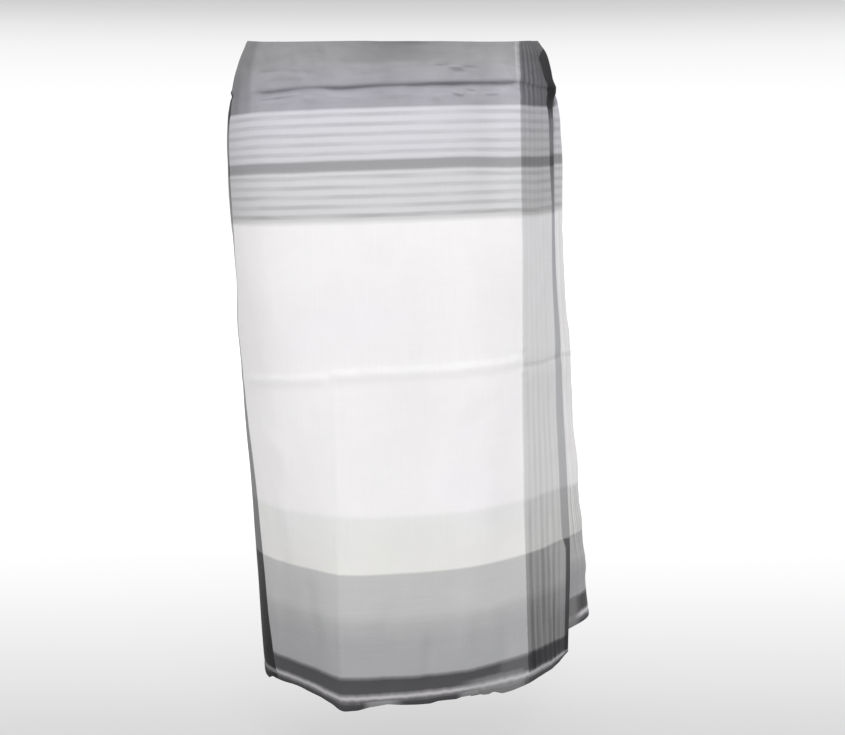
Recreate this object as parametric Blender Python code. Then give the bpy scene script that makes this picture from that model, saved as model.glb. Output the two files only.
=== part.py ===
# Sarong: a tube of woven cotton worn from waist to ankle, wrapped over at the front.
# Metres, +Z up. The front faces -Y, +X is the viewer's right, and the origin is the middle of
# the waist, level with the top edge at the viewer's left. Seen from above, the one cloth runs
# from the back round the left side and over the front, turns under at the outer fold, runs
# back beneath the front, turns again, and goes round the right hip to the back.

import math

import bpy
import numpy as np

# Cloth
CUT_AROUND = 2.00         # the tube laid open, seam to seam
SHOWN_LENGTH = 0.974      # from the top edge to the hem
WALL = 0.0016             # thickness of one layer
JOIN_GAP = 0.0003         # between pieces where they meet
LAYER_STEP_TOP = 0.0040   # from one layer's middle to the next where the wrap overlaps
LAYER_STEP_HEM = 0.0060
AXIS_Y = 0.02             # depth of the upright line that creases and folds stand out from

# Top edge
TOP_SLOPE = 0.0256        # it drops this much for each metre to the right
TOP_DIP = 0.0085          # and this much more at the middle front
TOP_DIP_REACH = (-0.02, 0.13)     # the dip comes in between these depths in front of the origin
TOP_BAND = 0.054          # the rows down to here share out that slope

# Plan of the tube at each distance down from the top edge: where the cloth passes its left
# side (two places, SIDE_STEP apart), the ironed ridge, the middle front, the right shoulder
# of the front, the seam, the outer fold, the right hip and the middle back. "stand_off" is
# how far the outer fold stands from the hip layer behind it.
PLAN_COLUMNS = (
    "down", "side_x", "left_x", "left_y", "ridge_y", "front_y", "shoulder_y", "seam_y",
    "fold_x", "fold_y", "stand_off", "hip_x", "hip_y", "back_y",
)
PLAN = (
    (0.000, -0.205, -0.214, 0.010, -0.118, -0.130, -0.108, -0.066, 0.2155, -0.008, 0.000, 0.213, 0.036, 0.130),
    (0.016, -0.214, -0.2225, 0.012, -0.121, -0.133, -0.111, -0.069, 0.2255, -0.006, 0.000, 0.221, 0.036, 0.134),
    (0.050, -0.229, -0.2355, 0.015, -0.127, -0.138, -0.117, -0.073, 0.2345, -0.003, 0.000, 0.233, 0.038, 0.142),
    (0.120, -0.244, -0.2495, 0.015, -0.133, -0.144, -0.122, -0.077, 0.237, 0.000, 0.001, 0.2485, 0.040, 0.155),
    (0.300, -0.245, -0.2485, 0.012, -0.134, -0.145, -0.121, -0.072, 0.239, 0.005, 0.002, 0.253, 0.042, 0.166),
    (0.550, -0.2385, -0.2383, 0.008, -0.138, -0.146, -0.118, -0.064, 0.248, 0.010, 0.003, 0.266, 0.050, 0.172),
    (0.776, -0.2330, -0.2300, 0.002, -0.144, -0.146, -0.112, -0.058, 0.257, 0.018, 0.004, 0.2825, 0.076, 0.197),
    (0.900, -0.2315, -0.2270, 0.000, -0.154, -0.150, -0.115, -0.068, 0.256, 0.020, 0.008, 0.2945, 0.145, 0.224),
    (0.974, -0.2310, -0.2240, 0.000, -0.166, -0.152, -0.118, -0.082, 0.253, 0.022, 0.012, 0.302, 0.180, 0.240),
)
LEFT_MOST = -0.2140
RIDGE_X = -0.096
FRONT_X = 0.020
SHOULDER_X = 0.120
SEAM_X = 0.184
SIDE_STEP = 0.070
CORNER_DEPTH = 0.80       # depth of the back's corners, as a share of the back's
CORNER_PAST_HIP = 0.050   # and at least this far behind the hip
SHARP_AND_ROUND = (0.2, 1.0)      # "soft" of a sharp and of a round ridge
FACET_BOW = (0.006, 0.034)        # the left facet bows out this far beside each

# "soft" is how round the ridge is, "corner" how far out the back's corners reach, as a share
# of the side, and "lift" how far the hip cloth comes up by leaning back.
SHAPE_COLUMNS = ("down", "soft", "corner", "lift")
SHAPE = (
    (0.000, 1.00, 0.74, 0.000),
    (0.300, 1.00, 0.76, 0.000),
    (0.550, 0.80, 0.79, 0.000),
    (0.776, 0.45, 0.83, 0.001),
    (0.900, 0.30, 0.85, 0.034),
    (0.974, 0.20, 0.86, 0.032),
)

# The places round the back, the left side and the front, as far as the outer fold.
OVER_PLACES = (
    "back", "back_left", "side", "left", "facet", "ridge", "front", "shoulder", "seam", "fold",
)

# How much of the lift each place on the way round takes.
LIFT_SHARE = {
    "back": 0.35, "left": 0.0, "under_end": 0.0, "inner_start": 0.1, "parting": 0.6,
    "behind": 1.0, "hip": 1.0, "back_right": 0.7, "end": 0.35,
}

# The waist crease: how far the cloth stands out at each distance down.
CREASE = (
    (0.000, 0.0000), (0.030, 0.0008), (0.054, 0.0026), (0.067, 0.0030), (0.0745, -0.0022),
    (0.083, 0.0006), (0.098, 0.0010), (0.125, 0.0000),
)

# Soft upright folds of the sides and back. "bearing" is degrees round from the middle front,
# to the viewer's right; "out" is how far it stands out at the hem, "half" its half width in
# degrees, "from_down" where it begins.
FOLD_COLUMNS = ("bearing", "out", "half", "from_down")
FOLDS = (
    (-112.0, 0.008, 8.0, 0.42),
    (-131.0, -0.007, 9.0, 0.38),
    (-152.0, 0.010, 9.0, 0.30),
    (-173.0, -0.008, 9.0, 0.25),
    (166.0, 0.011, 9.0, 0.28),
    (148.0, -0.009, 8.0, 0.40),
)

# Distances down at which the walls have a row of points.
ROWS = (
    0.000, 0.028, 0.054, 0.067, 0.0745, 0.083, 0.098, 0.125, 0.170, 0.230, 0.300, 0.380,
    0.470, 0.560, 0.650, 0.720, 0.785, 0.850, 0.900, 0.940, SHOWN_LENGTH,
)

# Each stretch of cloth on the way round, step by step from place to place, with the number of
# columns of cells in each step.
STRETCHES = {
    "front_wrap": (("left", "facet", 4), ("facet", "ridge", 4), ("ridge", "front", 5),
                   ("front", "shoulder", 4), ("shoulder", "seam", 3)),
    "head_panel": (("seam", "fold", 5), ("fold", "turned", 5)),
    "under_wrap": (("turned", "under_end", 13), ("under_end", "inner_start", 5)),
    "hip_wrap": (("inner_start", "parting", 10), ("parting", "behind", 3),
                 ("behind", "hip", 4), ("hip", "back_right", 5)),
    "back_wrap": (("back_right", "end", 9), ("back", "back_left", 9), ("back_left", "side", 5),
                  ("side", "left", 3)),
}
COLOURS = {
    "front_wrap": (0.86, 0.85, 0.86),
    "head_panel": (0.42, 0.42, 0.44),
    "under_wrap": (0.62, 0.62, 0.64),
    "hip_wrap": (0.66, 0.66, 0.68),
    "back_wrap": (0.82, 0.81, 0.82),
}
CLOTH_ROUGHNESS = 0.88

# Fineness of the smooth way round, from which the columns are read.
SPAN_STEPS = 14           # steps between two places
PARTING_STEPS = 8         # of them past the seam, where the hip layer leaves the ones over it
TURN_POINTS = 9           # points round a fold's turn
EDGE_ANGLE = math.radians(50)


def smooth_step(value, start, stop):
    """0 before start, 1 after stop, smooth between."""
    share = np.clip((value - start) / (stop - start), 0.0, 1.0)
    return share * share * (3.0 - 2.0 * share)


def hermite(start, stop, leave, arrive, share):
    """The smooth curve from start to stop with those directions, at each share of the way."""
    share = np.asarray(share)[:, None]
    square = share**2
    cube = share**3
    return (
        (2 * cube - 3 * square + 1) * start
        + (cube - 2 * square + share) * leave
        + (3 * square - 2 * cube) * stop
        + (cube - square) * arrive
    )


def row_at(columns, rows, down):
    """Every column of a table at one distance down, smoothly between its rows."""
    table = np.array(rows)
    at = table[:, 0]
    slopes = np.gradient(table, at, axis=0)
    k = int(np.clip(np.searchsorted(at, down) - 1, 0, len(at) - 2))
    span = at[k + 1] - at[k]
    share = [(down - at[k]) / span]
    values = hermite(table[k], table[k + 1], slopes[k] * span, slopes[k + 1] * span, share)[0]
    return dict(zip(columns, values))


def smooth_way(places, soft=None):
    """A smooth line through the places between the first and the last, which only give it its
    direction there. soft is how round the line is at each place between."""
    places = np.array(places, float)
    chord = np.linalg.norm(np.diff(places, axis=0), axis=1)
    before = chord[:-1, None]
    after = chord[1:, None]
    leaving = np.diff(places, axis=0)[1:] / after
    arriving = np.diff(places, axis=0)[:-1] / before
    slope = (leaving * before + arriving * after) / (before + after)
    if soft is not None:
        slope = slope * np.array(soft)[:, None]
    shares = np.arange(SPAN_STEPS) / SPAN_STEPS
    spans = []
    for i in range(1, len(places) - 2):
        leave = slope[i - 1] * chord[i]
        arrive = slope[i] * chord[i]
        spans.append(hermite(places[i], places[i + 1], leave, arrive, shares))
    return np.vstack(spans + [places[-2:-1]])


def length_along(line):
    steps = np.linalg.norm(np.diff(line, axis=0), axis=1)
    return np.concatenate([[0.0], np.cumsum(steps)])


def unit(vector):
    return vector / np.linalg.norm(vector, axis=-1, keepdims=True)


def to_left(vector):
    """The vector turned a quarter to the left, seen from above."""
    return np.stack([-vector[..., 1], vector[..., 0]], axis=-1)


def at_index(line, index):
    """The point of a line at an index that may lie between two of its points."""
    low = min(int(index), len(line) - 2)
    return line[low] + (line[low + 1] - line[low]) * (index - low)


def half_circle(end, ahead, aside, across):
    """The points round a turn that leaves end and curls towards aside."""
    angles = np.linspace(0.0, math.pi, TURN_POINTS + 2)[1:-1, None]
    return end + across / 2 * (aside * (1 - np.cos(angles)) + ahead * np.sin(angles))


def places_at(down):
    """The plan's named places at one distance down, and how round the ridge is there."""
    row = row_at(PLAN_COLUMNS, PLAN, down)
    shape = row_at(SHAPE_COLUMNS, SHAPE, down)
    left = np.array([row["left_x"], row["left_y"]])
    ridge = np.array([RIDGE_X, row["ridge_y"]])
    bow = np.interp(shape["soft"], SHARP_AND_ROUND, FACET_BOW)
    corner = row["back_y"] * CORNER_DEPTH
    right_corner = max(corner, row["hip_y"] + CORNER_PAST_HIP)
    places = {
        "back": np.array([0.0, row["back_y"]]),
        "back_left": np.array([row["left_x"] * shape["corner"], corner]),
        "side": np.array([row["side_x"], row["left_y"] + SIDE_STEP]),
        "left": left,
        "facet": (left + ridge) / 2 - to_left(unit(ridge - left)) * bow,
        "ridge": ridge,
        "front": np.array([FRONT_X, row["front_y"]]),
        "shoulder": np.array([SHOULDER_X, row["shoulder_y"]]),
        "seam": np.array([SEAM_X, row["seam_y"]]),
        "fold": np.array([row["fold_x"], row["fold_y"]]),
        "hip": np.array([row["hip_x"], row["hip_y"]]),
        "back_right": np.array([row["hip_x"] * shape["corner"], right_corner]),
    }
    return places, row["stand_off"], shape["soft"], shape["lift"]


def plan_loop(down):
    """The whole way round at one distance down: its points, the length along it at each point
    and at each named place, and how far each point is lifted."""
    places, stand_off, soft, lift = places_at(down)
    layer = LAYER_STEP_TOP + (LAYER_STEP_HEM - LAYER_STEP_TOP) * down / SHOWN_LENGTH

    # The outer layer.
    past_fold = 2 * places["fold"] - places["seam"]
    line = [places["back_right"]] + [places[name] for name in OVER_PLACES] + [past_fold]
    over = smooth_way(line, [soft if name == "ridge" else 1.0 for name in OVER_PLACES])
    index = {name: i * SPAN_STEPS for i, name in enumerate(OVER_PLACES)}
    inward = to_left(unit(np.gradient(over, axis=0)))

    # Beneath the front: one layer in, then two, and from the parting round the right hip.
    parting = index["seam"] + PARTING_STEPS
    under = (over + inward * layer)[index["left"]:]
    inner_all = over + inward * 2 * layer
    inner = inner_all[index["left"]:parting + 1]
    behind = places["fold"] + inward[-1] * (2 * layer + stand_off)
    line = [inner_all[index["seam"]], inner[-1], behind, places["hip"], places["back_right"]]
    round_hip = smooth_way(line + [places["back"], places["back_left"]])

    # The inner fold lies where the whole way round comes out as long as the cloth.
    fixed = length_along(over)[-1] + length_along(round_hip)[-1] + math.pi * layer
    steps = np.arange(len(inner))
    under_length = length_along(under)
    inner_length = length_along(inner)
    hidden = under_length[-1] - under_length[steps] + inner_length[-1] - inner_length
    start = float(np.interp(fixed - CUT_AROUND, -hidden, steps))
    first = int(start) + 1
    under_end = at_index(under, start)
    inner_start = at_index(inner, start)
    under = np.vstack([under_end[None], under[first:]])[::-1]
    inner = np.vstack([inner_start[None], inner[first:]])

    outer_turn = half_circle(over[-1], unit(over[-1] - over[-2]), inward[-1], layer)
    ahead = unit(under[-1] - under[-2])
    inner_turn = half_circle(under[-1], ahead, -to_left(ahead), layer)
    loop = np.vstack([over, outer_turn, under, inner_turn, inner, round_hip[1:]])
    ends = np.cumsum([len(over), len(outer_turn), len(under), len(inner_turn), len(inner)])
    index.update(turned=ends[1], under_end=ends[2] - 1, inner_start=ends[3], parting=ends[4] - 1)
    for i, name in enumerate(("behind", "hip", "back_right", "end")):
        index[name] = ends[4] - 1 + (i + 1) * SPAN_STEPS

    lifted = lift * np.interp(
        np.arange(len(loop)), [index[name] for name in LIFT_SHARE], list(LIFT_SHARE.values())
    )
    loop = stand_out(loop, down)
    along = length_along(loop)
    return loop, along, {name: along[i] for name, i in index.items()}, lifted


def stand_out(loop, down):
    """Moves the points out from the axis by the waist crease and by the soft upright folds."""
    away = unit(loop - np.array([0.0, AXIS_Y]))
    bearing = np.degrees(np.arctan2(away[:, 0], -away[:, 1]))
    out = np.full(len(loop), np.interp(down, *np.array(CREASE).T))
    for values in FOLDS:
        fold = dict(zip(FOLD_COLUMNS, values))
        off = (bearing - fold["bearing"] + 180.0) % 360.0 - 180.0
        grown = smooth_step(down, fold["from_down"], SHOWN_LENGTH)
        out += fold["out"] * grown * np.exp(-((off / fold["half"]) ** 2))
    return loop + away * out[:, None]


def top_edge(plan):
    """Height of the top edge over each point of the plan."""
    dip = TOP_DIP * smooth_step(-plan[:, 1], *TOP_DIP_REACH)
    return TOP_SLOPE * (LEFT_MOST - plan[:, 0]) - dip


def columns_of(steps, places_along):
    """The lengths along the way round at which a stretch has its columns."""
    columns = [
        np.linspace(places_along[start], places_along[stop], count, endpoint=False)
        for start, stop, count in steps
    ]
    columns = np.concatenate(columns + [[places_along[steps[-1][1]]]])
    columns[0] += JOIN_GAP / 2
    columns[-1] -= JOIN_GAP / 2
    return columns


def wall_faces(steps):
    """The outer and inner face of a stretch: points by row down and column round."""
    outer = []
    inner = []
    for down in ROWS:
        loop, along, places_along, lifted = plan_loop(down)
        columns = columns_of(steps, places_along)

        def read(at):
            return np.stack([np.interp(at, along, loop[:, axis]) for axis in (0, 1)], axis=1)

        plan = read(columns)
        aside = -to_left(unit(read(columns + WALL / 3) - read(columns - WALL / 3)))
        height = np.interp(columns, along, lifted) - down
        height += top_edge(plan) * max(0.0, 1.0 - down / TOP_BAND)
        outer.append(np.column_stack([plan + aside * WALL / 2, height]))
        inner.append(np.column_stack([plan - aside * WALL / 2, height]))
    return np.array(outer), np.array(inner)


def closed_wall(name, outer, inner):
    """One closed body: both faces, joined round their rim."""
    rows, columns = outer.shape[:2]
    points = np.vstack([outer.reshape(-1, 3), inner.reshape(-1, 3)])

    def at(place, side):
        row, column = place
        return side * rows * columns + row * columns + column

    faces = []
    for row in range(rows - 1):
        for column in range(columns - 1):
            cell = [(row, column), (row + 1, column), (row + 1, column + 1), (row, column + 1)]
            faces.append([at(place, 0) for place in cell])
            faces.append([at(place, 1) for place in reversed(cell)])
    rim = [(0, column) for column in range(columns)]
    rim += [(row, columns - 1) for row in range(1, rows)]
    rim += [(rows - 1, column) for column in range(columns - 2, -1, -1)]
    rim += [(row, 0) for row in range(rows - 2, 0, -1)]
    for here, following in zip(rim, rim[1:] + rim[:1]):
        faces.append([at(here, 0), at(following, 0), at(following, 1), at(here, 1)])
    mesh = bpy.data.meshes.new(name)
    mesh.from_pydata(points.tolist(), [], faces)
    mesh.update()
    mesh.shade_smooth()
    mesh.set_sharp_from_angle(angle=EDGE_ANGLE)
    return mesh


def cotton(name, colour):
    material = bpy.data.materials.new(name + "_cotton")
    material.use_nodes = True
    shader = material.node_tree.nodes["Principled BSDF"]
    shader.inputs["Base Color"].default_value = (*colour, 1.0)
    shader.inputs["Roughness"].default_value = CLOTH_ROUGHNESS
    shader.inputs["Metallic"].default_value = 0.0
    return material


def build_stretch(name, steps):
    outer, inner = wall_faces(steps)
    mesh = closed_wall(name, outer, inner)
    mesh.materials.append(cotton(name, COLOURS[name]))
    stretch = bpy.data.objects.new(name, mesh)
    bpy.context.scene.collection.objects.link(stretch)


def main():
    for old in list(bpy.data.objects):
        bpy.data.objects.remove(old, do_unlink=True)
    for name, steps in STRETCHES.items():
        build_stretch(name, steps)


main()
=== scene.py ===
import math

import bpy
import numpy as np
from mathutils import Matrix, Vector


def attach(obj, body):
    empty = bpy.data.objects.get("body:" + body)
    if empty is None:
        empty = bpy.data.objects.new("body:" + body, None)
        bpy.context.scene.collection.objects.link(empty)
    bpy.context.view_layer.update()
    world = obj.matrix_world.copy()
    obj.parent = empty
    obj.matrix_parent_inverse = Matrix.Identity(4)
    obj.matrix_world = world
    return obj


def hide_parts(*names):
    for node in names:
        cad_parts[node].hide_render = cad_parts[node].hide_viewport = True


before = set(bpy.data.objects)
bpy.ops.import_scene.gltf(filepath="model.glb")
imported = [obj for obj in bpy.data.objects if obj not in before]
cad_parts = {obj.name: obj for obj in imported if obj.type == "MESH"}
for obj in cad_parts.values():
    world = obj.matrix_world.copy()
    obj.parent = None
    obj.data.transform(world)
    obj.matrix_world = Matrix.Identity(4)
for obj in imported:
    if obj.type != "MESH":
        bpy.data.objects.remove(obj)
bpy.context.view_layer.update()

# The cloth and the way it is worn, the same sizes as the solids. Metres, +Z up, front to -Y.
cloth = {
    "around": 2.00,            # the tube laid open
    "length": 0.974,           # top edge to hem
    "thickness": 0.0009,
    "margin": 0.0012,          # past a stretch's ends, so that it meets its neighbours with one slope
    "layerTop": 0.0040,        # from layer to layer where the wrap overlaps
    "layerHem": 0.0060,
    "axisY": 0.02,             # creases stand out from this upright line
    "topSlope": 0.0256,
    "topDip": 0.0085,
    "topDipReach": (-0.02, 0.13),
    "topBand": 0.054,
    "leftMost": -0.2140,
    "ridgeX": -0.096,
    "frontX": 0.020,
    "shoulderX": 0.120,
    "seamX": 0.184,
    "sideStep": 0.070,
    "cornerDepth": 0.80,
    "cornerPastHip": 0.050,
    "spanSteps": 70,
    "partingShare": 8 / 14,    # of the span past the seam, where the hip layer leaves
    "turnPoints": 15,
}
planColumns = ("down", "sideX", "leftX", "leftY", "ridgeY", "frontY", "shoulderY", "seamY",
               "foldX", "foldY", "standOff", "hipX", "hipY", "backY")
planRows = (
    (0.000, -0.205, -0.214, 0.010, -0.118, -0.130, -0.108, -0.066, 0.2155, -0.008, 0.000, 0.213, 0.036, 0.130),
    (0.016, -0.214, -0.2225, 0.012, -0.121, -0.133, -0.111, -0.069, 0.2255, -0.006, 0.000, 0.221, 0.036, 0.134),
    (0.050, -0.229, -0.2355, 0.015, -0.127, -0.138, -0.117, -0.073, 0.2345, -0.003, 0.000, 0.233, 0.038, 0.142),
    (0.120, -0.244, -0.2495, 0.015, -0.133, -0.144, -0.122, -0.077, 0.237, 0.000, 0.001, 0.2485, 0.040, 0.155),
    (0.300, -0.245, -0.2485, 0.012, -0.134, -0.145, -0.121, -0.072, 0.239, 0.005, 0.002, 0.253, 0.042, 0.166),
    (0.550, -0.2385, -0.2383, 0.008, -0.138, -0.146, -0.118, -0.064, 0.248, 0.010, 0.003, 0.266, 0.050, 0.172),
    (0.776, -0.2330, -0.2300, 0.002, -0.144, -0.146, -0.112, -0.058, 0.257, 0.018, 0.004, 0.2825, 0.076, 0.197),
    (0.900, -0.2315, -0.2270, 0.000, -0.154, -0.150, -0.115, -0.068, 0.256, 0.020, 0.008, 0.2945, 0.145, 0.224),
    (0.974, -0.2310, -0.2240, 0.000, -0.166, -0.152, -0.118, -0.082, 0.253, 0.022, 0.012, 0.302, 0.180, 0.240),
)
shapeColumns = ("down", "soft", "corner", "lift")
shapeRows = (
    (0.000, 1.00, 0.74, 0.000), (0.300, 1.00, 0.76, 0.000), (0.550, 0.80, 0.79, 0.000),
    (0.776, 0.45, 0.83, 0.001), (0.900, 0.30, 0.85, 0.034), (0.974, 0.20, 0.86, 0.032),
)
facetBow = ((0.2, 1.0), (0.006, 0.034))      # how the left facet bows out with the ridge's softness
overPlaces = ("back", "backLeft", "side", "left", "facet", "ridge", "front", "shoulder", "seam", "fold")
liftShare = {"back": 0.35, "left": 0.0, "underEnd": 0.0, "innerStart": 0.1, "parting": 0.6,
             "behind": 1.0, "hip": 1.0, "backRight": 0.7, "end": 0.35}

# Distance along the cut from the seam at each place on the way round, as the shades are laid out.
cutPlaces = {"back": -0.8654, "backLeft": -0.6716, "side": -0.5868, "left": -0.5155, "facet": -0.4082,
             "ridge": -0.3015, "front": -0.1844, "shoulder": -0.0800, "seam": 0.0, "fold": 0.0978,
             "turned": 0.1055, "underEnd": 0.4329, "innerStart": 0.4406, "parting": 0.7209,
             "behind": 0.7638, "hip": 0.8272, "backRight": 0.9253, "end": 1.1346}


def smoothStep(value, start, stop):
    share = np.clip((value - start) / (stop - start), 0.0, 1.0)
    return share * share * (3.0 - 2.0 * share)


def bell(value, middle, half):
    return np.exp(-(((value - middle) / half) ** 2))


def hermite(start, stop, leave, arrive, share):
    share = np.asarray(share)[:, None]
    square, cube = share**2, share**3
    return ((2 * cube - 3 * square + 1) * start + (cube - 2 * square + share) * leave
            + (3 * square - 2 * cube) * stop + (cube - square) * arrive)


def rowAt(columns, rows, down):      # a table's values at one distance down, smooth between rows
    table = np.array(rows)
    at = table[:, 0]
    slopes = np.gradient(table, at, axis=0)
    k = int(np.clip(np.searchsorted(at, down) - 1, 0, len(at) - 2))
    span = at[k + 1] - at[k]
    share = [(down - at[k]) / span]
    values = hermite(table[k], table[k + 1], slopes[k] * span, slopes[k + 1] * span, share)[0]
    return dict(zip(columns, values))


def smoothWay(places, soft=None):    # smooth through the inner places; the two ends only aim it
    places = np.array(places, float)
    steps = np.diff(places, axis=0)
    chord = np.linalg.norm(steps, axis=1)
    before, after = chord[:-1, None], chord[1:, None]
    leaving, arriving = steps[1:] / after, steps[:-1] / before
    slope = (leaving * before + arriving * after) / (before + after)
    if soft is not None:
        slope = slope * np.array(soft)[:, None]
    shares = np.arange(cloth["spanSteps"]) / cloth["spanSteps"]
    spans = [hermite(places[i], places[i + 1], slope[i - 1] * chord[i], slope[i] * chord[i], shares)
             for i in range(1, len(places) - 2)]
    return np.vstack(spans + [places[-2:-1]])


def lengthAlong(line):
    return np.concatenate([[0.0], np.cumsum(np.linalg.norm(np.diff(line, axis=0), axis=1))])


def unit(vector):
    return vector / np.linalg.norm(vector, axis=-1, keepdims=True)


def toLeft(vector):
    return np.stack([-vector[..., 1], vector[..., 0]], axis=-1)


def atIndex(line, index):
    low = min(int(index), len(line) - 2)
    return line[low] + (line[low + 1] - line[low]) * (index - low)


def halfCircle(end, ahead, aside, across):
    angles = np.linspace(0.0, math.pi, cloth["turnPoints"] + 2)[1:-1, None]
    return end + across / 2 * (aside * (1 - np.cos(angles)) + ahead * np.sin(angles))


def placesAt(down):
    row = rowAt(planColumns, planRows, down)
    shape = rowAt(shapeColumns, shapeRows, down)
    left = np.array([row["leftX"], row["leftY"]])
    ridge = np.array([cloth["ridgeX"], row["ridgeY"]])
    corner = row["backY"] * cloth["cornerDepth"]
    places = {
        "back": np.array([0.0, row["backY"]]),
        "backLeft": np.array([row["leftX"] * shape["corner"], corner]),
        "side": np.array([row["sideX"], row["leftY"] + cloth["sideStep"]]),
        "left": left,
        "facet": (left + ridge) / 2 - toLeft(unit(ridge - left)) * np.interp(shape["soft"], *facetBow),
        "ridge": ridge,
        "front": np.array([cloth["frontX"], row["frontY"]]),
        "shoulder": np.array([cloth["shoulderX"], row["shoulderY"]]),
        "seam": np.array([cloth["seamX"], row["seamY"]]),
        "fold": np.array([row["foldX"], row["foldY"]]),
        "hip": np.array([row["hipX"], row["hipY"]]),
        "backRight": np.array([row["hipX"] * shape["corner"],
                               max(corner, row["hipY"] + cloth["cornerPastHip"])]),
    }
    return places, row["standOff"], shape["soft"], shape["lift"]


def planLoop(down):      # the whole way round at one distance down, as the solids have it
    places, standOff, soft, lift = placesAt(down)
    steps = cloth["spanSteps"]
    layer = cloth["layerTop"] + (cloth["layerHem"] - cloth["layerTop"]) * down / cloth["length"]
    line = [places["backRight"]] + [places[n] for n in overPlaces] + [2 * places["fold"] - places["seam"]]
    over = smoothWay(line, [soft if n == "ridge" else 1.0 for n in overPlaces])
    index = {n: i * steps for i, n in enumerate(overPlaces)}
    inward = toLeft(unit(np.gradient(over, axis=0)))

    parting = index["seam"] + round(cloth["partingShare"] * steps)
    under = (over + inward * layer)[index["left"]:]
    innerAll = over + inward * 2 * layer
    inner = innerAll[index["left"]:parting + 1]
    behind = places["fold"] + inward[-1] * (2 * layer + standOff)
    line = [innerAll[index["seam"]], inner[-1], behind, places["hip"], places["backRight"]]
    roundHip = smoothWay(line + [places["back"], places["backLeft"]])

    fixed = lengthAlong(over)[-1] + lengthAlong(roundHip)[-1] + math.pi * layer
    counts = np.arange(len(inner))
    underLength, innerLength = lengthAlong(under), lengthAlong(inner)
    hidden = underLength[-1] - underLength[counts] + innerLength[-1] - innerLength
    start = float(np.interp(fixed - cloth["around"], -hidden, counts))
    first = int(start) + 1
    under = np.vstack([atIndex(under, start)[None], under[first:]])[::-1]
    inner = np.vstack([atIndex(inner, start)[None], inner[first:]])

    outerTurn = halfCircle(over[-1], unit(over[-1] - over[-2]), inward[-1], layer)
    ahead = unit(under[-1] - under[-2])
    innerTurn = halfCircle(under[-1], ahead, -toLeft(ahead), layer)
    loop = np.vstack([over, outerTurn, under, innerTurn, inner, roundHip[1:]])
    ends = np.cumsum([len(over), len(outerTurn), len(under), len(innerTurn), len(inner)])
    index.update(turned=ends[1], underEnd=ends[2] - 1, innerStart=ends[3], parting=ends[4] - 1)
    for i, n in enumerate(("behind", "hip", "backRight", "end")):
        index[n] = ends[4] - 1 + (i + 1) * steps
    lifted = lift * np.interp(np.arange(len(loop)), [index[n] for n in liftShare], list(liftShare.values()))
    along = lengthAlong(loop)
    return loop, along, index, lifted


# Form of the cloth finer than the plan. "u" is the distance along the cut from the seam, to the
# viewer's right, "v" the distance down, "out" how far it stands out.
waistCrease = {
    "profile": ((0.000, 0.0000), (0.028, 0.0006), (0.050, 0.0022), (0.062, 0.0036), (0.0690, 0.0042),
                (0.0718, 0.0030), (0.0750, -0.0032), (0.0778, -0.0034), (0.082, -0.0004),
                (0.090, 0.0012), (0.105, 0.0008), (0.130, 0.0000)),
    "level": 0.0750, "wander": (0.0011, 47.0, 13.0),
    "path": ((-0.8654, 0.0750), (-0.5155, 0.0800), (-0.44, 0.0812), (-0.40, 0.0796), (-0.36, 0.0776),
             (-0.32, 0.0757), (-0.30, 0.0759), (-0.27, 0.0776), (-0.24, 0.0773), (-0.20, 0.0757),
             (-0.185, 0.0748), (-0.146, 0.0746), (-0.12, 0.0755), (-0.07, 0.0749), (-0.04, 0.0751),
             (-0.008, 0.0742), (0.0, 0.0736), (0.045, 0.0785), (0.0978, 0.0835), (0.12, 0.0800),
             (1.14, 0.0750)),
    "strength": ((-0.8654, 0.6), (-0.62, 0.5), (-0.53, 0.0), (-0.43, 0.0), (-0.41, 0.15), (-0.385, 0.62),
                 (-0.357, 0.60), (-0.335, 0.42), (-0.315, 0.40), (-0.30, 0.60), (-0.28, 0.95),
                 (-0.25, 0.85), (-0.22, 0.70), (-0.195, 0.65), (-0.165, 0.85), (-0.14, 0.85),
                 (-0.12, 1.05), (-0.10, 1.0), (-0.085, 0.78), (-0.06, 0.85), (-0.03, 1.05),
                 (-0.014, 0.8), (-0.004, 0.42), (0.008, 0.30), (0.04, 0.25), (0.075, 0.30),
                 (0.0978, 0.15), (0.13, 0.2), (0.74, 0.2), (0.79, 0.1), (0.88, 0.5), (1.14, 0.6)),
}
ironed = {         # the level crease left by ironing, with a small step at the upright one
    "path": ((-0.8654, 0.4850), (-0.80, 0.4800), (-0.64, 0.4890), (-0.5155, 0.5060), (-0.44, 0.4975),
             (-0.37, 0.4912), (-0.3062, 0.4866), (-0.3038, 0.4822), (-0.23, 0.4790), (-0.16, 0.4784),
             (-0.08, 0.4772), (-0.012, 0.4772), (0.000, 0.4850), (0.045, 0.4860), (0.0978, 0.4815),
             (0.74, 0.4820), (0.92, 0.4890), (1.14, 0.4850)),
    "out": ((-0.95, 0.0012), (-0.5155, 0.0009), (-0.48, 0.0010), (-0.45, 0.0018), (-0.38, 0.0016),
            (-0.318, 0.0020), (-0.305, 0.0008), (-0.29, 0.0021), (-0.20, 0.0016), (-0.13, 0.0019),
            (-0.05, 0.0020), (-0.014, 0.0026), (0.001, -0.0004), (0.010, -0.0014), (0.05, -0.0010),
            (0.0978, -0.0016), (0.70, 0.0010), (1.14, 0.0012)),
    "half": 0.0084, "under": 0.0165, "underHalf": 0.0110, "underShare": 0.20, "share": 0.62,
    "wander": (0.0006, 83.0),
}
backFolds = {      # soft upright folds of the sides and back, by bearing from the front in degrees
    "columns": ("bearing", "out", "half", "fromDown"),
    "rows": ((-112.0, 0.008, 8.0, 0.42), (-131.0, -0.007, 9.0, 0.38), (-152.0, 0.010, 9.0, 0.30),
             (-173.0, -0.008, 9.0, 0.25), (166.0, 0.011, 9.0, 0.28), (148.0, -0.009, 8.0, 0.40)),
}
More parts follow.
